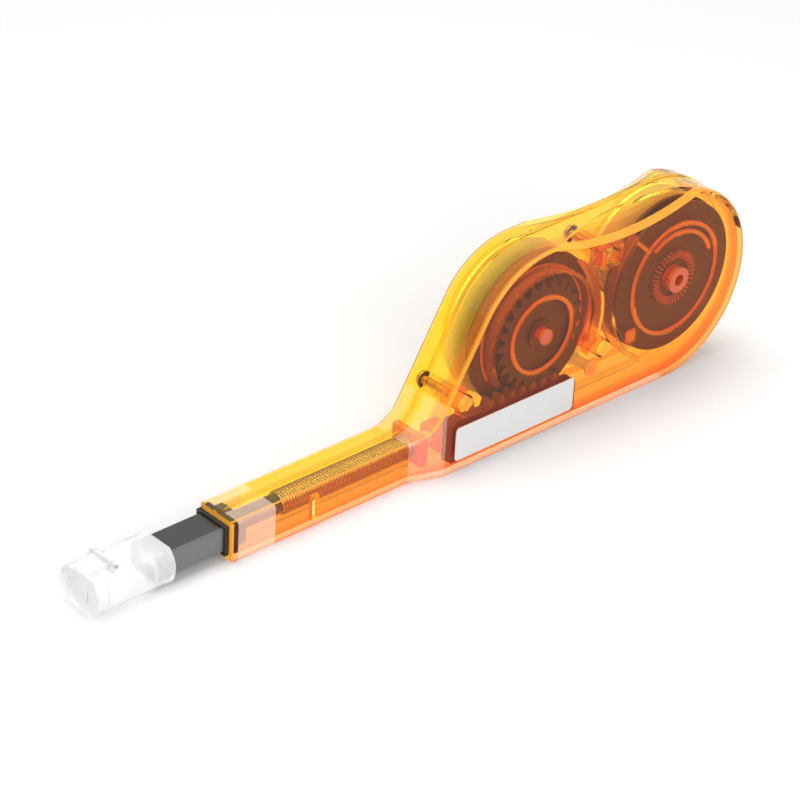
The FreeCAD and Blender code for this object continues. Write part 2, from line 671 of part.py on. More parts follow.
def rounded_plate(name, x, y, z, length, depth, height, corner):
    """A plate in the XZ plane with rounded corners; y is its near side."""
    body = new_body(name)
    place(body, x, y, z)
    sketch = add_rectangle(body_sketch(body, name + "_view", "XZ"), "0", "0", length, height)
    plate = pad(body, name + "_pad", sketch, depth, reverse=True)
    doc.recompute()
    corners = [
        "Edge%d" % index
        for index, edge in enumerate(plate.Shape.Edges, start=1)
        if abs(edge.tangentAt(edge.FirstParameter).y) > 0.9
    ]
    rounding = body.newObject("PartDesign::Fillet", name + "_corners")
    rounding.Base = (plate, corners)
    bind(rounding, Radius=corner)
    return body


# recess of the label and window in the side of the nose
label_recess = rounded_plate(
    "label_recess", "nose_x + label_x - mould_gap", NEAR + " - 1", "label_z - mould_gap",
    "label_length + 2 * mould_gap", "label_sink + 1", "label_height + 2 * mould_gap", "label_corner",
)
slot = box(
    "nose_window",
    "nose_x + slot_x", NEAR + " - 1", "slot_margin",
    "slot_width", SETBACK + " + wall + 1.1", "nose_height - 2 * slot_margin",
)
axle_holes = [
    cylinder("axle_hole", FRONT_X, NEAR + " - 1", REEL_Z, "axle_r + mould_gap", "wall + 2"),
    cylinder("supply_axle_hole", REAR_X, NEAR + " - 1", REEL_Z, "supply_axle_r + mould_gap", "wall + 2"),
]

near_skin = common("near_skin", [skin, near_half])
near_solid = fuse("near_solid", [near_skin, bead] + near_ribs + near_bosses)
near_cuts = fuse("near_cuts", [mouth, label_recess, slot] + axle_holes + near_bores)
near_shell = piece(cut("near_shell_piece", near_solid, near_cuts), "near_shell")

far_ribs = []
for name, x, flange in (("front", FRONT_X, TAKE_UP_R), ("rear", REAR_X, SUPPLY_R)):
    far_ribs.append(tube(
        "far_ring_" + name, x, "%s - wall - far_ring_height" % FAR, REEL_Z,
        flange + " + far_ring_lip", flange + " + far_ring_lip - rib", "far_ring_height + wall / 2",
    ))
far_skin = common("far_skin", [skin, far_half])
far_solid = fuse("far_solid", [far_skin] + far_ribs + far_bosses)
far_shell = piece(cut("far_shell_piece", far_solid, fuse("far_cuts", [mouth] + far_bores)), "far_shell")

label_plate = piece(rounded_plate(
    "label_plate", "nose_x + label_x", NEAR + " + label_sink - label_thick", "label_z",
    "label_length", "label_thick", "label_height", "label_corner - mould_gap",
), "label_plate")

# ---------------------------------------------------------------- bush, sleeve and push rod
def yz_rectangle(body, name, x, width, height):
    """A rectangle across the nose's axis, in a body whose origin lies on that axis."""
    sketch = body_sketch(body, name, "YZ", x)
    half_width = "(%s) / 2" % width
    half_height = "(%s) / 2" % height
    return add_rectangle(sketch, "-" + half_width, "-" + half_height, half_width, half_height)


def nose_body(name):
    """A body whose origin lies on the nose's axis, at the nose's front face."""
    return place(new_body(name), "nose_x", NOSE_Y, NOSE_Z)


bush = nose_body("nose_bush")
pad(bush, "bush_block", yz_rectangle(bush, "bush_section", "-bush_stand", BUSH_WIDTH, BUSH_HEIGHT),
    "bush_stand + bush_ring")
BUSH_BORE_HEIGHT = "(sleeve_height + 2 * mould_gap)"
BUSH_BORE_WIDTH = "(sleeve_width + 2 * mould_gap)"
bore_sketch = yz_rectangle(bush, "bush_bore_section", "-bush_stand - 1", BUSH_BORE_WIDTH, BUSH_BORE_HEIGHT)
pocket(bush, "bush_bore", bore_sketch, "bush_stand + bush_ring + 2", reverse=True)
piece(bush, "nose_bush")

sleeve = nose_body("guide_sleeve")


def bevelled(body, name, x, width, height, bevel):
    """A rectangle with bevelled corners across the nose's axis."""
    w = "(%s) / 2" % width
    h = "(%s) / 2" % height
    b = "(%s)" % bevel
    return add_polygon(body_sketch(body, name, "YZ", x), [
        ("-%s + %s" % (w, b), "-" + h), ("%s - %s" % (w, b), "-" + h),
        (w, "-%s + %s" % (h, b)), (w, "%s - %s" % (h, b)),
        ("%s - %s" % (w, b), h), ("-%s + %s" % (w, b), h),
        ("-" + w, "%s - %s" % (h, b)), ("-" + w, "-%s + %s" % (h, b)),
    ])


outer_sketch = bevelled(
    sleeve, "sleeve_section", "-sleeve_reach", "sleeve_width", "sleeve_height", "sleeve_chamfer",
)
pad(sleeve, "sleeve_block", outer_sketch, "sleeve_reach + sleeve_back")
ear_sketch = yz_rectangle(
    sleeve, "sleeve_ear_section", "bush_ring + run_gap", "sleeve_width + 2 * ear_height", "sleeve_height / 2",
)
pad(sleeve, "sleeve_ears", ear_sketch, "ear_length")
tail_sketch = body_sketch(sleeve, "sleeve_tail_section", "YZ", "sleeve_back - 1")
add_circle(tail_sketch, "0", "0", "tail_r")
pad(sleeve, "sleeve_tail", tail_sketch, "sleeve_tail - sleeve_back + 1")
inner_sketch = yz_rectangle(
    sleeve, "sleeve_bore_section", "-sleeve_reach - 1",
    "sleeve_width - 2 * sleeve_wall", "sleeve_height - 2 * sleeve_wall",
)
pocket(sleeve, "sleeve_bore", inner_sketch, "sleeve_reach + 1 + sleeve_back - sleeve_wall", reverse=True)
rod_bore_sketch = add_circle(
    body_sketch(sleeve, "sleeve_rod_bore_section", "YZ", "0"), "0", "0", "rod_r + mould_gap",
)
pocket(sleeve, "sleeve_rod_bore", rod_bore_sketch, "sleeve_tail + 1", reverse=True)
piece(sleeve, "guide_sleeve")

# tape head: a flat tongue that tapers into its stem, and the rod back to the rack
head = nose_body("tape_head")
HEAD_TIP = "(head_sink - sleeve_reach)"
head_view = add_polygon(body_sketch(head, "head_view", "XZ", "-head_width / 2"), [
    (HEAD_TIP, "-head_thick / 2 + 0.4"),
    (HEAD_TIP + " + 0.8", "-head_thick / 2"),
    (HEAD_TIP + " + 7", "-head_thick / 2"),
    (HEAD_TIP + " + 10", "-stem_thick / 2"),
    (HEAD_TIP + " + 16", "-stem_thick / 2"),
    (HEAD_TIP + " + 16", "stem_thick / 2"),
    (HEAD_TIP + " + 10", "stem_thick / 2"),
    (HEAD_TIP + " + 7", "head_thick / 2"),
    (HEAD_TIP + " + 0.8", "head_thick / 2"),
    (HEAD_TIP, "head_thick / 2 - 0.4"),
])
pad(head, "head_pad", head_view, "head_width")
ROD_START = "(%s + 15)" % HEAD_TIP
rod_sketch = add_circle(body_sketch(head, "rod_section", "YZ", ROD_START), "0", "0", "rod_r")
pad(head, "rod_pad", rod_sketch, "rack_x + yoke_length - 1.4 - %s" % ROD_START)
piece(head, "tape_head")

# ---------------------------------------------------------------- return spring and its seat
COIL_START = "(sleeve_tail + wire / 2 + mould_gap)"
COIL_END = "(seat_x - wire / 2 - mould_gap)"
coil_path = doc.addObject("Part::Helix", "coil_path")
bind(
    coil_path,
    Height="%s - %s" % (COIL_END, COIL_START),
    Pitch="(%s - %s) / spring_turns" % (COIL_END, COIL_START),
    Radius="spring_r - wire / 2",
)
coil_section = doc.addObject("Part::RegularPolygon", "coil_section")
coil_section.Polygon = 4
bind(coil_section, Circumradius="wire / 2")
coil_section.Placement = Placement(Vector(0, 0, 0), Rotation(Vector(1, 0, 0), 90))
bind(coil_section, Placement__Base__x="spring_r - wire / 2")
coil = doc.addObject("Part::Sweep", "return_spring_piece")
coil.Sections = [coil_section]
coil.Spine = (coil_path, [])
coil.Solid = True
coil.Frenet = True
place(coil, "nose_x + " + COIL_START, NOSE_Y, NOSE_Z, ALONG_X)
piece(coil, "return_spring")

seat_block = box(
    "seat_block",
    "nose_x + seat_x", "%s - wall - %s - 0.1" % (FAR, BUSH_WIDTH), "wall",
    "seat_thick", BUSH_WIDTH + " + 0.1", BUSH_HEIGHT,
)
seat_bore = cylinder(
    "seat_bore", "nose_x + seat_x - 1", NOSE_Y, NOSE_Z, "rod_r + 3 * mould_gap", "seat_thick + 2", ALONG_X,
)
piece(cut("spring_seat_piece", seat_block, seat_bore), "spring_seat")

# ---------------------------------------------------------------- rack
RACK_ROOT = "(%s - 1.25 * tooth_module)" % PITCH_LINE
RACK_TIP = "(%s + 0.95 * tooth_module)" % PITCH_LINE

rack = new_body("rack_slider")
place(rack, "nose_x", "%s + rack_y" % NEAR, "0")
RACK_END = "(front_x + rack_rear)"
bar_sketch = add_polygon(body_sketch(rack, "rack_view", "XZ"), [
    ("rack_x", "rack_base"),
    (RACK_END, "rack_base"),
    (RACK_END, "rack_base + 8.6"),
    (RACK_END + " - 1.0", "rack_base + 9.6"),
    ("front_x + 2.6 * %s" % TOOTH_PITCH, "rack_base + 9.6"),
    ("front_x + 2.4 * %s" % TOOTH_PITCH, RACK_ROOT),
    ("front_x - (rack_teeth - 1.5) * %s" % TOOTH_PITCH, RACK_ROOT),
    ("front_x - (rack_teeth - 1.5) * %s" % TOOTH_PITCH, PITCH_LINE + " - 0.5"),
    ("rack_x + 1.5", PITCH_LINE + " - 0.5"),
    ("rack_x", PITCH_LINE + " - 2.0"),
])
pad(rack, "rack_bar", bar_sketch, "rack_thick", reverse=True)
HALF_TOOTH = "(%s / 4 - backlash / 2)" % TOOTH_PITCH
FLANK = "tan(20 deg) * tooth_module"
FIRST_TOOTH = "front_x - (rack_teeth - 2.5) * %s" % TOOTH_PITCH
tooth_sketch = add_polygon(body_sketch(rack, "rack_tooth_view", "XZ"), [
    ("%s - %s - 1.25 * %s" % (FIRST_TOOTH, HALF_TOOTH, FLANK), RACK_ROOT + " - 0.1"),
    ("%s + %s + 1.25 * %s" % (FIRST_TOOTH, HALF_TOOTH, FLANK), RACK_ROOT + " - 0.1"),
    ("%s + %s + 1.25 * %s" % (FIRST_TOOTH, HALF_TOOTH, FLANK), RACK_ROOT),
    ("%s + %s - 0.95 * %s" % (FIRST_TOOTH, HALF_TOOTH, FLANK), RACK_TIP),
    ("%s - %s + 0.95 * %s" % (FIRST_TOOTH, HALF_TOOTH, FLANK), RACK_TIP),
    ("%s - %s - 1.25 * %s" % (FIRST_TOOTH, HALF_TOOTH, FLANK), RACK_ROOT),
])
rack_tooth = pad(rack, "rack_tooth", tooth_sketch, "rack_thick", reverse=True)
tooth_row = rack.newObject("PartDesign::LinearPattern", "rack_teeth_row")
tooth_row.Originals = [rack_tooth]
tooth_row.Direction = (tooth_sketch, ["H_Axis"])
bind(tooth_row, Length="(rack_teeth - 1) * %s" % TOOTH_PITCH, Occurrences="rack_teeth")
rack.Tip = tooth_row
# long hollow that keeps the bar's section even
hollow_view = add_rectangle(
    body_sketch(rack, "rack_hollow_view", "XZ", "-1.4"),
    "rack_x + yoke_length + 4.0", "rack_base + 2.0", RACK_END + " - 4.0", "rack_base + 7.0",
)
pocket(rack, "rack_hollow", hollow_view, "rack_thick")
piece(rack, "rack_slider")

# yoke that joins the push rod to the bar; it stands against the bar's far side
yoke = new_body("rod_yoke")
place(yoke, "nose_x + rack_x", NOSE_Y, NOSE_Z)
YOKE_HALF = "(yoke_height / 2)"
yoke_block = add_rectangle(
    body_sketch(yoke, "yoke_section", "YZ", "0"),
    "%s + rack_y + rack_thick - %s" % (NEAR, NOSE_Y), "-" + YOKE_HALF, YOKE_HALF, YOKE_HALF,
)
pad(yoke, "yoke_pad", yoke_block, "yoke_length")
yoke_bore_sketch = add_circle(body_sketch(yoke, "yoke_bore_view", "YZ", "-1"), "0", "0", "rod_r + mould_gap")
pocket(yoke, "yoke_bore", yoke_bore_sketch, "yoke_length", reverse=True)
piece(yoke, "rod_yoke")

# ---------------------------------------------------------------- drive gear
gear = new_body("drive_gear")
place(gear, FRONT_X, "%s + gear_y" % NEAR, REEL_Z)
ROOT_R = "(%s - 1.25 * tooth_module)" % PITCH_R
gear_sketch = add_polygon(body_sketch(gear, "gear_half_section", "XY"), [
    ("axle_r + spin_gap", "0"),
    ("axle_r + 1.6", "0"),
    ("axle_r + 1.6", "0.8"),
    (ROOT_R + " - 2.0", "0.8"),
    (ROOT_R + " - 2.0", "0"),
    (ROOT_R, "0"),
    (ROOT_R, "gear_thick"),
    ("axle_r + spin_gap", "gear_thick"),
])
revolve(gear, "gear_disc", gear_sketch)
gear_tooth_sketch = add_polygon(body_sketch(gear, "gear_tooth_view", "XZ"), [
    ("-%s - 0.55 * tooth_module" % HALF_TOOTH, "-%s + 0.3" % ROOT_R),
    ("-%s - 0.45 * tooth_module" % HALF_TOOTH, "-" + ROOT_R),
    ("-" + HALF_TOOTH, "-" + PITCH_R),
    ("-%s + 0.42 * tooth_module" % HALF_TOOTH, "-%s - 0.95 * tooth_module" % PITCH_R),
    ("%s - 0.42 * tooth_module" % HALF_TOOTH, "-%s - 0.95 * tooth_module" % PITCH_R),
    (HALF_TOOTH, "-" + PITCH_R),
    ("%s + 0.45 * tooth_module" % HALF_TOOTH, "-" + ROOT_R),
    ("%s + 0.55 * tooth_module" % HALF_TOOTH, "-%s + 0.3" % ROOT_R),
])
gear_tooth = pad(gear, "gear_tooth", gear_tooth_sketch, "gear_thick", reverse=True)
polar(gear, "gear_teeth_ring", [gear_tooth], gear_tooth_sketch, "gear_teeth")
clutch_sketch = add_polygon(body_sketch(gear, "clutch_tooth_view", "XZ", "-gear_thick"), [
    ("-0.5", "clutch_r - 2.2"), ("0.5", "clutch_r - 2.2"), ("0.8", "clutch_r"), ("-0.8", "clutch_r"),
])
clutch_tooth = pad(gear, "clutch_tooth", clutch_sketch, "clutch_height", reverse=True)
polar(gear, "clutch_ring", [clutch_tooth], clutch_sketch, "clutch_teeth")
piece(gear, "drive_gear")

# ---------------------------------------------------------------- reels and tape
TAPE_END = "(case_depth - wall - reel_clear - disc_thick - disc_y)"
TAPE_GAP = "(tape_y - disc_y - disc_thick)"
ROLL_WIDTH = "(disc_y + %s - %s - tape_y)" % (TAPE_END, TAPE_GAP)


def reel_profile(bore_r, flange_r):
    """Half section of a reel from its axis outwards; the near flange's near side is at 0."""
    return [
        ("%s + spin_gap" % bore_r, "0"),
        (flange_r, "0"),
        (flange_r, "disc_thick"),
        ("hub_r", "disc_thick"),
        ("hub_r", TAPE_END),
        (flange_r, TAPE_END),
        (flange_r, TAPE_END + " + disc_thick"),
        ("hub_r - hub_wall", TAPE_END + " + disc_thick"),
        ("hub_r - hub_wall", "disc_thick"),
        ("%s + 1.4" % bore_r, "disc_thick"),
        ("%s + 1.4" % bore_r, TAPE_END + " + disc_thick"),
        ("%s + spin_gap" % bore_r, TAPE_END + " + disc_thick"),
    ]


take_up = new_body("take_up_reel")
place(take_up, FRONT_X, "%s + disc_y" % NEAR, REEL_Z)
take_up_sketch = body_sketch(take_up, "take_up_half_section", "XY")
add_polygon(take_up_sketch, reel_profile("axle_r", TAKE_UP_R))
revolve(take_up, "take_up_turned", take_up_sketch)
piece(take_up, "take_up_reel")

supply = new_body("supply_reel")
place(supply, REAR_X, "%s + disc_y" % NEAR, REEL_Z)
supply_sketch = body_sketch(supply, "supply_half_section", "XY")
add_polygon(supply_sketch, reel_profile("supply_axle_r", SUPPLY_R))
revolve(supply, "supply_turned", supply_sketch)
COVER = "(cover_disc_y - disc_y)"
cover_sketch = add_polygon(body_sketch(supply, "cover_half_section", "XY"), [
    ("supply_axle_r + spin_gap", COVER),
    ("crown_inner_r", COVER),
    ("crown_inner_r", COVER + " - 0.5"),
    ("crown_r", COVER + " - 0.5"),
    ("crown_r", COVER),
    (SUPPLY_R + " - cover_margin", COVER),
    (SUPPLY_R + " - cover_margin", COVER + " + disc_thick"),
    ("drum_r", COVER + " + disc_thick"),
    ("drum_r", "0.1"),
    ("supply_axle_r + spin_gap", "0.1"),
])
revolve(supply, "cover_turned", cover_sketch)
crown_sketch = add_polygon(body_sketch(supply, "crown_gap_view", "XZ", "-(%s - 1)" % COVER), [
    ("-crown_inner_r * pi / crown_teeth / 2", "crown_inner_r - 0.3"),
    ("crown_inner_r * pi / crown_teeth / 2", "crown_inner_r - 0.3"),
    ("crown_r * pi / crown_teeth / 2", "crown_r + 0.3"),
    ("-crown_r * pi / crown_teeth / 2", "crown_r + 0.3"),
])
crown_gap = pocket(supply, "crown_gap", crown_sketch, "1")
polar(supply, "crown_gaps", [crown_gap], crown_sketch, "crown_teeth")
piece(supply, "supply_reel")

for name, x, radius in (
    ("take_up_tape", FRONT_X, "take_up_roll_r"),
    ("supply_tape", REAR_X, SUPPLY_R + " - supply_roll_margin"),
):
    piece(tube(name + "_roll", x, NEAR + " + tape_y", REEL_Z, radius, "hub_r + mould_gap", ROLL_WIDTH), name)

# ---------------------------------------------------------------- axles, tape guides and screws
AXLE_LENGTH = "case_depth - wall - 0.3"
take_up_axle = cylinder("take_up_axle_pin", FRONT_X, NEAR + " + 0.3", REEL_Z, "axle_r", AXLE_LENGTH)
piece(take_up_axle, "take_up_axle")
supply_axle = tube(
    "supply_axle_pin", REAR_X, NEAR + " + 0.1", REEL_Z,
    "supply_axle_r", "supply_axle_bore", "case_depth - wall - 0.1",
)
piece(supply_axle, "supply_axle")

for name, x, z in (
    ("tape_guide_front", "80.5", "12.6"),
    ("tape_guide_rear", "126.0", "8.0"),
):
    x = "nose_x + " + x
    start = NEAR + " + disc_y + run_gap"
    post = cylinder(name + "_post", x, start, z, "guide_r", "case_depth - wall - disc_y - run_gap")
    near_collar = cylinder(name + "_near_collar", x, start, z, "collar_r", "collar_thick")
    far_collar = cylinder(
        name + "_far_collar", x, start + " + collar_thick + tape_width + run_gap", z, "collar_r", "collar_thick",
    )
    piece(fuse(name + "_piece", [post, near_collar, far_collar]), name)

for name, x, z in BOSSES:
    x = "nose_x + " + x
    slot_y = SCREW_SEAT + " + screw_head_height - 0.8"
    shank = cylinder("shank_" + name, x, SCREW_SEAT + " - screw_length", z, "screw_r", "screw_length + 0.2")
    screw_head = cylinder("head_" + name, x, SCREW_SEAT, z, "screw_head_r", "screw_head_height - 0.2")
    recess = box(
        "drive_" + name, x + " - 1.2", slot_y, z + " - 0.25", "2.4", "1", "0.5",
    )
    cross = box(
        "cross_" + name, x + " - 0.25", slot_y, z + " - 1.2", "0.5", "1", "2.4",
    )
    screw = fuse("screw_solid_" + name, [shank, screw_head])
    piece(cut("screw_piece_" + name, screw, fuse("drives_" + name, [recess, cross])), "screw_" + name)

# ---------------------------------------------------------------- cap and lid


def cap_section(body, name, x, inset):
    """Section of the cap: flat top and bottom, bulging sides; inset is its distance inwards."""
    half_flat = number("cap_flat / 2")
    half_height = number("cap_height / 2 - %s" % inset)
    half_width = number("cap_width / 2 - %s" % inset)
    corners = [
        Vector(-half_flat, half_height, 0), Vector(half_flat, half_height, 0),
        Vector(half_flat, -half_height, 0), Vector(-half_flat, -half_height, 0),
    ]
    sketch = body_sketch(body, name, "YZ", x)
    sketch.addGeometry([
        Part.LineSegment(corners[0], corners[1]),
        Part.Arc(corners[1], Vector(half_width, 0, 0), corners[2]),
        Part.LineSegment(corners[2], corners[3]),
        Part.Arc(corners[3], Vector(-half_width, 0, 0), corners[0]),
    ], False)
    top, right, under, left = range(4)
    # both arcs run counter-clockwise, so their first points are right-below and left-above
    sketch.addConstraint([
        Sketcher.Constraint("Coincident", top, 2, right, 2),
        Sketcher.Constraint("Coincident", right, 1, under, 1),
        Sketcher.Constraint("Coincident", under, 2, left, 2),
        Sketcher.Constraint("Coincident", left, 1, top, 1),
    ])
    pin_point(sketch, top, 1, "-cap_flat / 2", "cap_height / 2 - %s" % inset)
    pin_point(sketch, top, 2, "cap_flat / 2", "cap_height / 2 - %s" % inset)
    pin_point(sketch, under, 1, "cap_flat / 2", "-cap_height / 2 + %s" % inset)
    pin_point(sketch, under, 2, "-cap_flat / 2", "-cap_height / 2 + %s" % inset)
    bulge = "((cap_width - cap_flat) / 2 - %s)" % inset
    rise = "(cap_height / 2 - %s)" % inset
    radius = "(%s * %s + %s * %s) / (2 * %s)" % (rise, rise, bulge, bulge, bulge)
    for arc in (right, left):
        index = sketch.addConstraint(Sketcher.Constraint("Radius", arc, number(radius)))
        sketch.setExpression("Constraints[%d]" % index, formula(radius))
    return sketch


cap = nose_body("cap_body")
pad(cap, "cap_block", cap_section(cap, "cap_outside_section", "cap_front", "0"), "cap_rim - cap_front")
pocket(
    cap, "cap_inside", cap_section(cap, "cap_inside_section", "cap_front - 1", "cap_wall"),
    "cap_rim - cap_front + 2", reverse=True,
)
# collar that grips the sleeve
collar_sketch = cap_section(cap, "cap_collar_section", "cap_rim - 0.8 - grip_length", "cap_wall / 2")
add_rectangle(
    collar_sketch,
    "-sleeve_width / 2 - mould_gap", "-sleeve_height / 2 - mould_gap",
    "sleeve_width / 2 + mould_gap", "sleeve_height / 2 + mould_gap",
)
pad(cap, "cap_collar", collar_sketch, "grip_length")
LUG_TOP = "(cap_height / 2 + hinge_rise)"
lug_view = body_sketch(cap, "cap_lug_view", "XZ", "lug_spread - lug_width / 2")
add_polygon(lug_view, [
    ("hinge_x - knuckle_r - 0.6", "cap_height / 2 - 0.3"),
    ("hinge_x + knuckle_r + 2.6", "cap_height / 2 - 0.3"),
    ("hinge_x + knuckle_r", LUG_TOP + " + knuckle_r * 0.4"),
    ("hinge_x + knuckle_r * 0.5", LUG_TOP + " + knuckle_r"),
    ("hinge_x - knuckle_r * 0.5", LUG_TOP + " + knuckle_r"),
    ("hinge_x - knuckle_r", LUG_TOP + " + knuckle_r * 0.4"),
])
near_lug = pad(cap, "cap_near_lug", lug_view, "lug_width")
mirror = cap.newObject("PartDesign::Mirrored", "cap_far_lug")
mirror.Originals = [near_lug]
mirror.MirrorPlane = (next(f for f in cap.Origin.OriginFeatures if f.Role == "XZ_Plane"), [""])
cap.Tip = mirror
pin_hole_sketch = add_circle(
    body_sketch(cap, "cap_pin_hole_view", "XZ", "case_depth"), "hinge_x", LUG_TOP, "hinge_pin_r + mould_gap",
)
pocket(cap, "cap_pin_hole", pin_hole_sketch, "2 * case_depth")
piece(cap, "cap_body")

lid = nose_body("cap_lid")
LID_FRONT = "(cap_front - lid_gap - lid_thick)"
pad(lid, "lid_block", cap_section(lid, "lid_section", LID_FRONT, "0"), "lid_thick")
lid_hollow = cap_section(lid, "lid_inside_section", LID_FRONT + " + 1.2", "cap_wall")
pocket(lid, "lid_inside", lid_hollow, "lid_thick", reverse=True)
recess_sketch = body_sketch(lid, "lid_recess_view", "YZ", LID_FRONT)
add_circle(recess_sketch, "0", "0", "cap_height / 2 - 0.9")
add_circle(recess_sketch, "0", "0", "cap_height / 2 - 1.7")
pocket(lid, "lid_recess", recess_sketch, "lid_recess", reverse=True)
strap_sketch = add_rectangle(
    body_sketch(lid, "lid_strap_section", "YZ", LID_FRONT + " + 1.0"),
    "-lug_spread + lug_width / 2 + 0.2", "cap_height / 2 - 0.3",
    "lug_spread - lug_width / 2 - 0.2", "cap_height / 2 + 0.25",
)
pad(lid, "lid_strap_root", strap_sketch, "lid_thick - 1.0")
STRAP_HALF = "(lug_spread - lug_width / 2 - 0.2)"
strap_view = add_polygon(body_sketch(lid, "lid_strap_view", "XZ", "-" + STRAP_HALF), [
    (LID_FRONT + " + 1.0", "cap_height / 2 + 0.25"),
    ("hinge_x", "cap_height / 2 + 0.25"),
    ("hinge_x", "cap_height / 2 + hinge_rise + 0.4"),
    (LID_FRONT + " + 2.0", "cap_height / 2 + hinge_rise"),
])
pad(lid, "lid_strap", strap_view, "2 * " + STRAP_HALF)
knuckle_sketch = add_circle(
    body_sketch(lid, "lid_knuckle_view", "XZ", "-" + STRAP_HALF), "hinge_x", LUG_TOP, "knuckle_r",
)
pad(lid, "lid_knuckle", knuckle_sketch, "2 * " + STRAP_HALF)
lid_bore_sketch = add_circle(
    body_sketch(lid, "lid_bore_view", "XZ", "case_depth"), "hinge_x", LUG_TOP, "hinge_pin_r + mould_gap",
)
pocket(lid, "lid_bore", lid_bore_sketch, "2 * case_depth")
piece(lid, "cap_lid")

lid_pin = cylinder(
    "lid_pin_rod",
    "nose_x + hinge_x", NOSE_Y + " - lug_spread - lug_width / 2", NOSE_Z + " + " + LUG_TOP,
    "hinge_pin_r", "2 * lug_spread + lug_width",
)
piece(lid_pin, "lid_pin")

# ---------------------------------------------------------------- checks and files
doc.recompute()
for thing in doc.Objects:
    if "Invalid" in thing.State or "Error" in thing.State:
        raise RuntimeError("%s did not build: %s" % (thing.Name, thing.State))
for thing in PIECES:
    if thing.Shape.isNull() or not thing.Shape.isValid() or not thing.Shape.Solids:
        raise RuntimeError("%s has no sound shape" % thing.Label)

os.makedirs("parts", exist_ok=True)
for thing in PIECES:
    thing.Shape.exportStep("parts/%s.step" % thing.Label)
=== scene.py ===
# Looks of the reel-type connector cleaner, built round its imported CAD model. Metres, +X to the reels,
# the labelled near face along -Y, +Z up.
import math

import bpy
from mathutils import Matrix, Vector


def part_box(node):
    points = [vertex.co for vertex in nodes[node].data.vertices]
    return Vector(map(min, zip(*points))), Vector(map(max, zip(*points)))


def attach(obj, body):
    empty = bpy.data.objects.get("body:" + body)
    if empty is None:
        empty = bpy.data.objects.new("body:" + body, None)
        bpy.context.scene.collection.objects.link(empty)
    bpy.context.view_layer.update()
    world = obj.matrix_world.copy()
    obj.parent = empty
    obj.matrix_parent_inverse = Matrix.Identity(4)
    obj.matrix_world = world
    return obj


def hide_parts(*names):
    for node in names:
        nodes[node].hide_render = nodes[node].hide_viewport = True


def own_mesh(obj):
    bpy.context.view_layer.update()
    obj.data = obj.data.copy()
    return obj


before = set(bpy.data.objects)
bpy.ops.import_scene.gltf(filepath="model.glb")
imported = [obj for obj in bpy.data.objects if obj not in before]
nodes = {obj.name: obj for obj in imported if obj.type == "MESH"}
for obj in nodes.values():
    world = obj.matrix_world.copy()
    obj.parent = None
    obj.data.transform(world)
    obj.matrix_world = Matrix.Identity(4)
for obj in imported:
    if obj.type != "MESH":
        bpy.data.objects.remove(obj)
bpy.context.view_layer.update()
scene = bpy.context.scene
MM = 0.001

# ---------------------------------------------------------------- places on the housing, from the frame
NOSE_X, NEAR_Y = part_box("near_shell")[0][:2]     # front end and labelled near face
SEAM_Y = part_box("far_shell")[0][1]               # parting plane
FAR_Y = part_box("far_shell")[1][1]
WALL = 1.5 * MM
SETBACK = 3.3 * MM                               # the nose's near face lies this far behind the near face
NEAR_INSIDE = NEAR_Y + WALL
FAR_INSIDE = FAR_Y - WALL
NOSE_NEAR = NEAR_Y + SETBACK
NOSE_INSIDE = NOSE_NEAR + WALL
NOSE_END = NOSE_X + 57 * MM                      # where the nose starts to flare
PAST_RIBS = NEAR_Y + 6.45 * MM                   # just past the tops of the near shell's ribs
FLANGE_Y = 4.8 * MM                              # the reels' far flanges lie beyond this

# margins round faces that a material picks by their place
TOUCH = 0.05 * MM
SLACK = 0.15 * MM
REACH = 0.25 * MM
OUTSIDE = 0.35 * MM

# ---------------------------------------------------------------- node trees


def colour(r, g, b):
    return (r, g, b, 1.0)


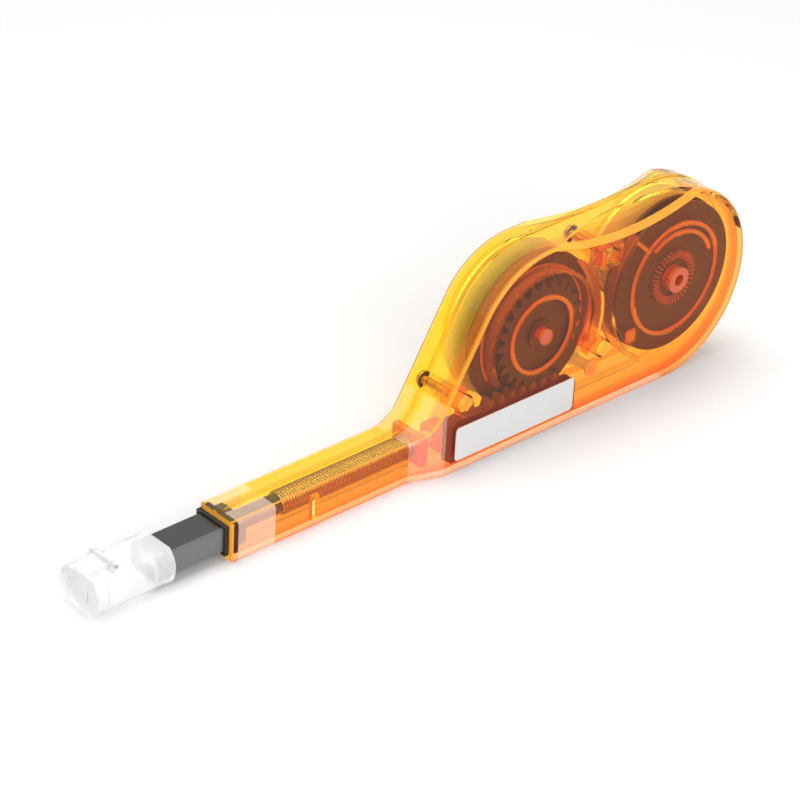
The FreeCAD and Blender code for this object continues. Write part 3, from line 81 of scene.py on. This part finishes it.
class Shading:
    """A material's node tree, with a short call for each node that repeats."""

    def __init__(self, name):
        self.material = bpy.data.materials.new(name)
        self.material.use_nodes = True
        self.tree = self.material.node_tree
        self.tree.nodes.clear()
        self.output = self.new("OutputMaterial")

    def new(self, kind):
        return self.tree.nodes.new("ShaderNode" + kind)

    def put(self, value, socket):
        """Links an output to the socket, or sets a constant on the socket itself."""
        if isinstance(value, bpy.types.NodeSocket):
            self.tree.links.new(value, socket)
        else:
            socket.default_value = value

    def finish(self, surface):
        self.put(surface, self.output.inputs["Surface"])
        return self.material

    def principled(self, **sockets):
        shader = self.new("BsdfPrincipled")
        for name, value in sockets.items():
            self.put(value, shader.inputs[name.replace("_", " ")])
        return shader.outputs[0]

    def plain(self, kind, tint):
        """A diffuse, transparent or emission shader of one colour."""
        shader = self.new(kind)
        shader.inputs["Color"].default_value = tint
        return shader.outputs[0]

    def shaders(self, factor, first, second):
        """The shader first where factor is 0 and second where it is 1."""
        node = self.new("MixShader")
        self.put(factor, node.inputs["Fac"])
        self.put(first, node.inputs[1])
        self.put(second, node.inputs[2])
        return node.outputs[0]

    def mix(self, factor, first, second):
        """The colour first where factor is 0 and second where it is 1."""
        node = self.new("Mix")
        node.data_type = "RGBA"
        self.put(factor, node.inputs["Factor"])
        self.put(first, node.inputs["A"])
        self.put(second, node.inputs["B"])
        return node.outputs["Result"]

    def math(self, operation, first, second=0.0):
        node = self.new("Math")
        node.operation = operation
        self.put(first, node.inputs[0])
        self.put(second, node.inputs[1])
        return node.outputs[0]

    def times(self, first, second):
        return self.math("MULTIPLY", first, second)

    def over(self, value, low):
        return self.math("GREATER_THAN", value, low)

    def under(self, value, high):
        return self.math("LESS_THAN", value, high)

    def between(self, value, low, high):
        """1 where the value lies between low and high, else 0."""
        return self.times(self.over(value, low), self.under(value, high))

    def spread(self, value, low, high, start=0.0, end=1.0):
        """Maps start..end to low..high."""
        ramp = self.new("MapRange")
        for name, limit in (("From Min", start), ("From Max", end), ("To Min", low), ("To Max", high)):
            ramp.inputs[name].default_value = limit
        self.put(value, ramp.inputs["Value"])
        return ramp.outputs["Result"]

    def noise(self, scale, detail, stretch=(1, 1, 1)):
        """Object-space noise in metres; stretch squeezes it along an axis."""
        mapping = self.new("Mapping")
        mapping.inputs["Scale"].default_value = stretch
        self.put(self.new("TexCoord").outputs["Object"], mapping.inputs["Vector"])
        texture = self.new("TexNoise")
        texture.inputs["Scale"].default_value = scale
        texture.inputs["Detail"].default_value = detail
        self.put(mapping.outputs["Vector"], texture.inputs["Vector"])
        return texture.outputs["Fac"]

    def bump(self, height, strength, distance):
        node = self.new("Bump")
        node.inputs["Strength"].default_value = strength
        node.inputs["Distance"].default_value = distance
        self.put(height, node.inputs["Height"])
        return node.outputs["Normal"]

    def places(self):
        """Position and normal by axis, and 1 on the inner side of a wall."""
        geometry = self.new("NewGeometry")
        out = []
        for name in ("Position", "Normal"):
            axes = self.new("SeparateXYZ")
            self.put(geometry.outputs[name], axes.inputs[0])
            out.append(axes.outputs)
        return out[0], out[1], geometry.outputs["Backfacing"]

    def ray(self, kind):
        return self.new("LightPath").outputs[kind]

    def haze_and_painted_glow(self, surface, amount, tint):
        """The surface under a diffuse layer of one colour: a milky haze, and on the amber also its painted
        glow.
        """
        return self.shaders(amount, surface, self.plain("BsdfDiffuse", tint))

    def with_shadow(self, surface, tint):
        """Lets light through to the floor, tinted, as clear plastic does."""
        return self.shaders(self.ray("Is Shadow Ray"), surface, self.plain("BsdfTransparent", tint))


# ---------------------------------------------------------------- clear plastics
GLOSS = (0.015, 0.05)        # least and most roughness of a clear plastic's skin
SKIN_IOR = 1.5
AMBER_IOR = 1.12             # low, so that what lies behind keeps its place
AMBER_SHADOW = colour(0.70, 0.70, 0.70)
# frosted film on the labelled wall: x from, x to, haze
FILM = (
    (NOSE_X + 1.5 * MM, NOSE_X + 13.3 * MM, 0.38),
    (NOSE_X + 57.2 * MM, NOSE_X + 66.9 * MM, 0.2),
)
FILM_GAP = (-0.4 * MM, 3.6 * MM)     # strip along the top of the nose, in y, that the film leaves bare


def cap_plastic():
    """Clear plastic with a glossy skin, uneven milkiness and tinted shadows."""
    shading = Shading("clear_plastic")
    glass = shading.principled(
        Base_Color=colour(0.95, 0.95, 0.95), Transmission_Weight=1.0, IOR=1.12, Roughness=0.02,
        Coat_Weight=1.0, Coat_IOR=SKIN_IOR, Coat_Roughness=shading.spread(shading.noise(90, 2), *GLOSS),
    )
    haze = 0.42
    amount = shading.spread(shading.noise(150, 3), haze * 0.8, haze * 1.2)
    milky = shading.haze_and_painted_glow(glass, amount, colour(0.73, 0.73, 0.73))
    return shading.finish(shading.with_shadow(milky, colour(0.85, 0.85, 0.85)))


def amber_masks(shading, position, normal):
    """Parts of the housing that look different, by name: 1 there and 0 elsewhere."""
    def slab(low, high):
        return shading.between(position["Y"], low, high)

    across = shading.math("ABSOLUTE", normal["Y"])
    along = shading.math("ABSOLUTE", normal["X"])
    steep = shading.under(across, 0.3)
    rounded = shading.between(across, 0.2, 0.93)
    nose = shading.under(position["X"], NOSE_END)
    nose_edge = shading.times(nose, slab(NOSE_NEAR - SLACK, NOSE_INSIDE - SLACK))
    case_edge = slab(NEAR_Y - OUTSIDE, NEAR_INSIDE - SLACK)
    crest = shading.times(shading.over(across, 0.7), slab(NEAR_INSIDE + SLACK, PAST_RIBS))
    front = shading.under(normal["X"], -0.7)
    return {
        # the labelled wall looked at squarely, where shade is painted, and both walls seen on edge
        "side": shading.times(shading.over(across, 0.2), slab(NEAR_Y - OUTSIDE, NOSE_INSIDE + SLACK)),
        "near_edge": shading.times(steep, shading.math("MAXIMUM", nose_edge, case_edge)),
        "far_edge": shading.times(steep, slab(FAR_INSIDE + SLACK, FAR_Y + OUTSIDE)),
        # flanks and tops of the ribs behind the near wall, both with painted glow
        "rib": shading.times(steep, slab(NEAR_INSIDE - REACH, NOSE_INSIDE - TOUCH)),
        "crest": shading.times(crest, shading.over(position["X"], 0.0)),
        # roundings, front frame of the nose, and its window, where glow is painted
        "near_rim": shading.times(rounded, slab(NEAR_Y - OUTSIDE, NEAR_INSIDE + REACH)),
        "far_rim": shading.times(rounded, slab(FAR_INSIDE - REACH, FAR_Y + OUTSIDE)),
        "mouth": shading.times(front, shading.under(position["X"], NOSE_X + 0.4 * MM)),
        "window": shading.times(shading.over(along, 0.9), nose_edge),
        # faces on the parting plane
        "joint": shading.times(shading.over(across, 0.9), slab(SEAM_Y - TOUCH, SEAM_Y + TOUCH)),
    }


def amber_tint(shading, masks, height, facing):
    """Yellow, and deeper where a rib or an edge is looked through. Painted shade: the labelled wall is
    deeper orange, most at the bottom, for the amber-tinted light behind and under it.
    """
    # painted shade: the labelled wall's tint deepens to orange towards the bottom
    lower_wall = shading.mix(
        shading.spread(height, 0.0, 1.0, 2.0 * MM, 16.0 * MM),
        colour(1.0, 0.31, 0.10), colour(1.0, 0.52, 0.14),
    )
    wall = shading.mix(
        shading.spread(height, 0.0, 1.0, 0.4 * MM, 3.0 * MM), colour(1.0, 0.13, 0.05), lower_wall,
    )
    tint = shading.mix(masks["side"], colour(1.0, 0.80, 0.17), wall)
    for name, deeper in (
        ("rib", colour(1.0, 0.50, 0.10)),
        ("near_edge", colour(1.0, 0.36, 0.03)),
        ("far_edge", colour(1.0, 0.52, 0.12)),
    ):
        tint = shading.mix(masks[name], tint, deeper)
    grazing = shading.times(shading.math("POWER", facing, 2.0), 0.8)
    return shading.mix(grazing, tint, colour(1.0, 0.42, 0.06))


def amber_film(shading, masks, position, inner):
    """Haze of the frosted film, on the outside only and thinner off the labelled wall."""
    amount = None
    for start, end, strength in FILM:
        patch = shading.times(shading.between(position["X"], start, end), strength)
        amount = patch if amount is None else shading.math("ADD", amount, patch)
    amount = shading.times(amount, shading.math("SUBTRACT", 1.0, inner))
    on_top = shading.spread(shading.between(position["Y"], *FILM_GAP), 0.75, 0.0)
    covered = shading.spread(shading.math("MAXIMUM", masks["side"], on_top), 0.1, 1.0)
    amount = shading.times(amount, covered)
    return shading.times(amount, shading.spread(shading.noise(150, 3), 0.85, 1.15))


def amber_painted_glow(shading, masks, facing):
    """Painted glow: orange haze at the edges and roundings, along the ribs, at the nose's mouth and window,
    and towards grazing angles.
    """
    painted_glow = shading.times(shading.math("POWER", facing, 5.0), 0.75)
    for name, strength in (
        ("rib", 0.12), ("crest", 0.5), ("near_rim", 0.6), ("far_rim", 0.55), ("mouth", 0.75),
        ("near_edge", 0.35), ("window", 0.5),
    ):
        painted_glow = shading.math("ADD", painted_glow, shading.times(masks[name], strength))
    return painted_glow


def amber_plastic():
    """Clear amber of the two shells."""
    shading = Shading("amber_plastic")
    position, normal, inner = shading.places()
    masks = amber_masks(shading, position, normal)
    edge = shading.new("LayerWeight")
    edge.inputs["Blend"].default_value = 0.25
    facing = edge.outputs["Facing"]
    surface = shading.principled(
        Base_Color=amber_tint(shading, masks, position["Z"], facing),
        Transmission_Weight=1.0, IOR=AMBER_IOR, Roughness=0.0, Coat_IOR=SKIN_IOR,
        Coat_Weight=shading.spread(shading.over(normal["Z"], 0.5), 0.3, 0.8),
        Coat_Roughness=shading.spread(shading.noise(90, 2), *GLOSS),
        Coat_Normal=shading.bump(shading.noise(60, 1), 0.05, 0.2 * MM),
    )
    film = amber_film(shading, masks, position, inner)
    surface = shading.haze_and_painted_glow(surface, film, colour(1.0, 0.72, 0.60))
    # painted glow: orange diffuse haze by place and towards grazing angles
    surface = shading.haze_and_painted_glow(surface, amber_painted_glow(shading, masks, facing), colour(1.0, 0.40, 0.05))
    # the shells touch along the parting plane: light passes there with a faint line
    passing = shading.plain("BsdfTransparent", colour(1.0, 0.86, 0.5))
    surface = shading.shaders(masks["joint"], surface, passing)
    return shading.finish(shading.with_shadow(surface, AMBER_SHADOW))


# ---------------------------------------------------------------- opaque materials


def moulded(name, base, roughness, grain=1400, depth=0.03 * MM, coat=0.0, recolour=None):
    """Opaque moulded plastic with a fine grain and slight unevenness of gloss and colour."""
    shading = Shading(name)
    patchy = shading.noise(45, 3)
    tint = shading.mix(
        patchy, colour(*[c * 0.9 for c in base]), colour(*[min(1.0, c * 1.1) for c in base]),
    )
    if recolour:
        tint = recolour(shading, tint)
    return shading.finish(shading.principled(
        Base_Color=tint,
        Roughness=shading.spread(patchy, roughness * 0.85, roughness * 1.15),
        Normal=shading.bump(shading.noise(grain, 2), 0.25, depth),
        Coat_Weight=coat, Coat_Roughness=0.15,
    ))


def pale_far_flange(shading, tint):
    """The far flange of a dark reel is moulded in a pale colour."""
    beyond = shading.over(shading.places()[0]["Y"], FLANGE_Y)
    return shading.mix(beyond, tint, colour(1.0, 0.95, 0.75))


def pale_near_side(shading, tint):
    """The side towards -Y is paler, as the photograph's light leaves it."""
    aside = shading.under(shading.places()[1]["Y"], -0.7)
    uneven = shading.spread(shading.noise(120, 3), 0.85, 1.0)
    return shading.mix(shading.times(aside, uneven), tint, colour(0.10, 0.10, 0.10))


def metal(name, base, roughness):
    """Bare metal with drawn streaks in its gloss."""
    shading = Shading(name)
    streaks = shading.noise(900, 2, (1, 1, 6))
    return shading.finish(shading.principled(
        Base_Color=colour(*base), Metallic=1.0,
        Roughness=shading.spread(streaks, roughness * 0.7, roughness * 1.4),
    ))


def wound_tape(name, base, ring_scale):
    """The side of a tape roll: fine rings round the roll's own axis."""
    shading = Shading(name)
    wave = shading.new("TexWave")
    wave.wave_type = "RINGS"
    wave.rings_direction = "Y"
    wave.inputs["Scale"].default_value = ring_scale
    wave.inputs["Distortion"].default_value = 0.6
    shading.put(shading.new("TexCoord").outputs["Object"], wave.inputs["Vector"])
    rings = wave.outputs["Fac"]
    return shading.finish(shading.principled(
        Base_Color=shading.mix(rings, colour(*[c * 0.82 for c in base]), colour(*base)),
        Normal=shading.bump(rings, 0.3, 0.1 * MM),
        Roughness=0.8, Sheen_Weight=0.3,
    ))


def floor_white():
    """Pale floor; what shows through the clear plastic is the plain white backdrop."""
    shading = Shading("floor_white")
    matt = shading.principled(Base_Color=colour(0.65, 0.65, 0.65), Roughness=0.9, Specular_IOR_Level=0.1)
    backdrop = shading.new("Emission")
    backdrop.inputs["Color"].default_value = colour(1, 1, 1)
    backdrop.inputs["Strength"].default_value = 1.2
    return shading.finish(shading.shaders(shading.ray("Is Transmission Ray"), matt, backdrop.outputs[0]))


# ---------------------------------------------------------------- dressing the CAD nodes
STEEL = metal("spring_steel", (0.55, 0.40, 0.34), 0.4)
CROWN = moulded("crown_plastic", (0.42, 0.12, 0.06), 0.35)
REEL_BROWN = (0.075, 0.031, 0.024)
NEAR_BLACK = (0.010, 0.010, 0.011)
LABEL_GREY = (0.58, 0.58, 0.58)

for material, *names in (
    (amber_plastic(), "near_shell", "far_shell"),
    (cap_plastic(), "cap_body", "cap_lid"),
    (moulded("black_plastic", (0.012, 0.012, 0.012), 0.42), "nose_bush"),
    (
        moulded("satin_black_plastic", NEAR_BLACK, 0.3, coat=0.8, recolour=pale_near_side),
        "guide_sleeve",
    ),
    (
        moulded("reel_plastic", REEL_BROWN, 0.38, recolour=pale_far_flange),
        "take_up_reel", "supply_reel",
    ),
    (moulded("gear_plastic", (0.075, 0.03, 0.025), 0.38), "drive_gear"),
    (moulded("slider_plastic", (0.2, 0.06, 0.04), 0.4), "rack_slider"),
    (moulded("orange_plastic", (0.85, 0.30, 0.04), 0.3), "rod_yoke", "spring_seat"),
    (moulded("red_plastic", (0.55, 0.085, 0.025), 0.3), "take_up_axle", "supply_axle"),
    (moulded("white_acetal", (0.75, 0.73, 0.7), 0.45), "tape_head", "tape_guide_front", "tape_guide_rear"),
    (moulded("label_stock", LABEL_GREY, 0.5, grain=2600, depth=0.01 * MM), "label_plate"),
    (STEEL, "return_spring", "lid_pin"),
    (metal("screw_steel", (0.78, 0.66, 0.52), 0.45), "screw_low", "screw_mid", "screw_top"),
    (wound_tape("cleaning_tape", (0.6, 0.58, 0.55), 200), "take_up_tape", "supply_tape"),
):
    for name in names:
        for slot in nodes[name].material_slots:
            slot.material = material

# ---------------------------------------------------------------- new pieces


def add_mesh(name, points, faces, material):
    mesh = bpy.data.meshes.new(name)
    mesh.from_pydata(points, [], faces)
    mesh.materials.append(material)
    piece = bpy.data.objects.new(name, mesh)
    scene.collection.objects.link(piece)
    return piece


def middle_of(node):
    low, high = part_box(node)
    return [(a + b) / 2 for a, b in zip(low, high)]


def add_spring():
    """A close coil of round wire from the sleeve's tail to its seat."""
    _, centre_y, centre_z = middle_of("return_spring")
    low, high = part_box("return_spring")
    wire = 0.22 * MM
    radius = 3.1 * MM - wire
    start, end = low[0] + wire, high[0] - wire
    turns, steps, sides = 48, 18, 8
    count = turns * steps
    lengthwise = Vector((1, 0, 0))
    points, faces = [], []
    for i in range(count + 1):
        angle = 2 * math.pi * i / steps
        outward = Vector((0, math.cos(angle), math.sin(angle)))
        middle = Vector((start + (end - start) * i / count, centre_y, centre_z)) + outward * radius
        for k in range(sides):
            turn = 2 * math.pi * k / sides
            points.append(middle + outward * wire * math.cos(turn) + lengthwise * wire * math.sin(turn))
    for i in range(count):
        for k in range(sides):
            a, b = i * sides + k, i * sides + (k + 1) % sides
            faces.append((a, b, b + sides, a + sides))
    faces.append(tuple(range(sides)))
    faces.append(tuple(reversed(range(count * sides, (count + 1) * sides))))
    spring = add_mesh("spring_coil", points, faces, STEEL)
    spring.data.shade_smooth()
    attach(spring, "case")
    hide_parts("return_spring")
    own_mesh(spring)


def add_crown():
    """The crown of fine radial teeth round the supply reel's hub; it turns with the reel."""
    centre_x, _, centre_z = middle_of("supply_axle")
    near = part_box("supply_reel")[0][1] - 0.1 * MM
    teeth, inside, outside, depth = 36, 5.5 * MM, 7.7 * MM, 0.8 * MM
    foot, crest = 0.30, 0.12     # half widths of a tooth, as shares of the pitch
    points, faces = [], []
    for i in range(teeth):
        base = len(points)
        for radius, lift in ((inside, 0.35), (outside, 1.0)):
            top = -depth * lift
            for shift, y in ((-foot, depth), (-crest, top), (crest, top), (foot, depth)):
                angle = 2 * math.pi * (i + shift) / teeth
                x = centre_x + radius * math.cos(angle)
                z = centre_z + radius * math.sin(angle)
                points.append((x, near + y, z))
        for k in range(4):
            a, b = base + k, base + (k + 1) % 4
            faces.append((a, b, b + 4, a + 4))
        faces.append((base + 3, base + 2, base + 1, base))
        faces.append((base + 4, base + 5, base + 6, base + 7))
    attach(add_mesh("supply_crown", points, faces, CROWN), "supply")


add_spring()
add_crown()

# ---------------------------------------------------------------- floor, light and camera


def add_floor():
    reach = 3.0
    corners = [(-reach, -reach, 0), (reach, -reach, 0), (reach, reach, 0), (-reach, reach, 0)]
    add_mesh("floor", corners, [(0, 1, 2, 3)], floor_white())


def add_area(name, place, size, power):
    """A softbox aimed at the middle of the part."""
    data = bpy.data.lights.new(name, "AREA")
    data.shape = "RECTANGLE"
    data.size, data.size_y = size
    data.energy = power
    light = bpy.data.objects.new(name, data)
    light.location = place
    aim = Vector((0, 0, 20 * MM)) - Vector(place)
    light.rotation_euler = aim.to_track_quat("-Z", "Y").to_euler()
    scene.collection.objects.link(light)


def add_world():
    world = bpy.data.worlds.new("studio")
    scene.world = world
    world.use_nodes = True
    background = world.node_tree.nodes["Background"]
    background.inputs["Color"].default_value = colour(1, 1, 1)
    background.inputs["Strength"].default_value = 0.7


def add_camera():
    """The photograph's view: a long lens from the front left, 31 degrees up, rolled a little."""
    azimuth, elevation, roll = (math.radians(a) for a in (-44.03, 31.14, 3.21))
    level = math.cos(elevation)
    back = Vector((math.sin(azimuth) * level, -math.cos(azimuth) * level, math.sin(elevation)))
    right = Vector((0, 0, 1)).cross(back).normalized()
    up = back.cross(right)
    right, up = (
        right * math.cos(roll) + up * math.sin(roll),
        up * math.cos(roll) - right * math.sin(roll),
    )
    data = bpy.data.cameras.new("camera")
    data.lens = 140.16
    data.sensor_width = 36
    data.clip_start = 0.05
    data.clip_end = 20
    camera = bpy.data.objects.new("camera", data)
    target = Vector((-17.64, -8.95, 29.43)) * MM
    distance = 0.768
    turn = Matrix((right, up, back)).transposed().to_4x4()
    camera.matrix_world = Matrix.Translation(target + back * distance) @ turn
    scene.collection.objects.link(camera)
    scene.camera = camera


add_floor()
add_world()
add_area("top_softbox", (0.05, 0.14, 0.95), (0.7, 0.5), 7)
add_area("near_softbox", (-0.45, -0.9, 0.6), (0.9, 0.6), 9)
add_camera()
scene.view_settings.view_transform = "Standard"
scene.cycles.transmission_bounces = 24
scene.cycles.transparent_max_bounces = 32
scene.cycles.max_bounces = 24
